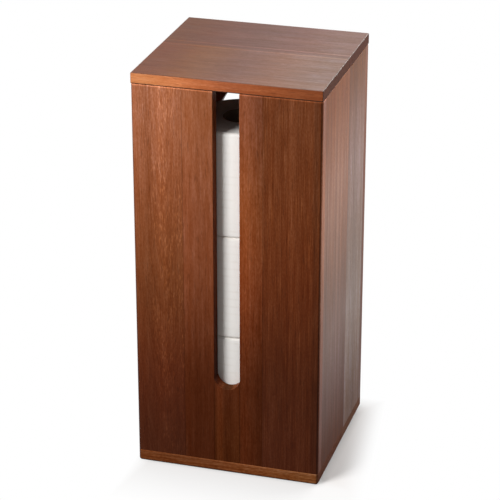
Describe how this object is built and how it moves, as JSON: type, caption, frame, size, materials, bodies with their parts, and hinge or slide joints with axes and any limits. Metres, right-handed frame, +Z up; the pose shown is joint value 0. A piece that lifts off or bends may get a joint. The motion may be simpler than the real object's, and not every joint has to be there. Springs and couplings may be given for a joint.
{
  "type": "toilet roll storage box",
  "caption": "Free-standing wooden box that stores toilet rolls upright behind a tall round-ended slot, with a lift-off lid as a shelf and an arched opening in the back.",
  "frame": {"origin": "on the floor, under the middle of the box", "axes": "+X to the right of a person who faces the slotted front, +Y from the front to the back, +Z up"},
  "size_m": [0.1992, 0.1912, 0.44],
  "materials": {
    "base_wood": "walnut-stained long grain, satin lacquer",
    "front_wood": "walnut-stained upright grain, satin lacquer",
    "side_wood": "walnut-stained upright grain, satin lacquer",
    "back_wood": "walnut-stained upright grain, satin lacquer",
    "inner_wood": "walnut-stained, matt",
    "lid_wood": "walnut-stained grain from left to right, satin lacquer",
    "screw_steel": "zinc plated",
    "dowel_wood": "bare beech",
    "tissue_paper": "soft white embossed tissue",
    "core_cardboard": "plain grey-brown cardboard"
  },
  "bodies": {
    "box": {"base_front_board": "base_wood", "base_rear_board": "base_wood", "front_left_outer_board": "front_wood", "front_left_inner_board": "front_wood", "front_centre_block": "front_wood", "front_right_inner_board": "front_wood", "front_right_outer_board": "front_wood", "left_side_front_board": "side_wood", "left_side_rear_board": "side_wood", "right_side_front_board": "side_wood", "right_side_rear_board": "side_wood", "back_left_board": "back_wood", "back_arch_head": "back_wood", "back_sill": "back_wood", "back_right_board": "back_wood", "floor_cleat_left": "inner_wood", "floor_cleat_right": "inner_wood", "raised_floor": "inner_wood", "base_screws": "screw_steel", "floor_screws": "screw_steel", "front_corner_dowels": "dowel_wood", "rear_corner_dowels": "dowel_wood"},
    "lid": {"lid_front_board": "lid_wood", "lid_rear_board": "lid_wood", "lid_batten_left": "inner_wood", "lid_batten_right": "inner_wood", "lid_batten_screws": "screw_steel"},
    "bottom_roll": {"bottom_roll_paper": "tissue_paper", "bottom_roll_core": "core_cardboard"},
    "middle_roll": {"middle_roll_paper": "tissue_paper", "middle_roll_core": "core_cardboard"},
    "top_roll": {"top_roll_paper": "tissue_paper", "top_roll_core": "core_cardboard"}
  },
  "joints": [
    {"name": "lid_lift", "type": "slide", "parent": "box", "child": "lid", "axis": [0, 0, 1], "range_m": [0, 0.15]},
    {"name": "bottom_roll_lift", "type": "slide", "parent": "box", "child": "bottom_roll", "axis": [0, 0, 1], "range_m": [0, 0.015]},
    {"name": "middle_roll_lift", "type": "slide", "parent": "bottom_roll", "child": "middle_roll", "axis": [0, 0, 1], "range_m": [0, 0.015]},
    {"name": "top_roll_lift", "type": "slide", "parent": "middle_roll", "child": "top_roll", "axis": [0, 0, 1], "range_m": [0, 0.015]}
  ]
}
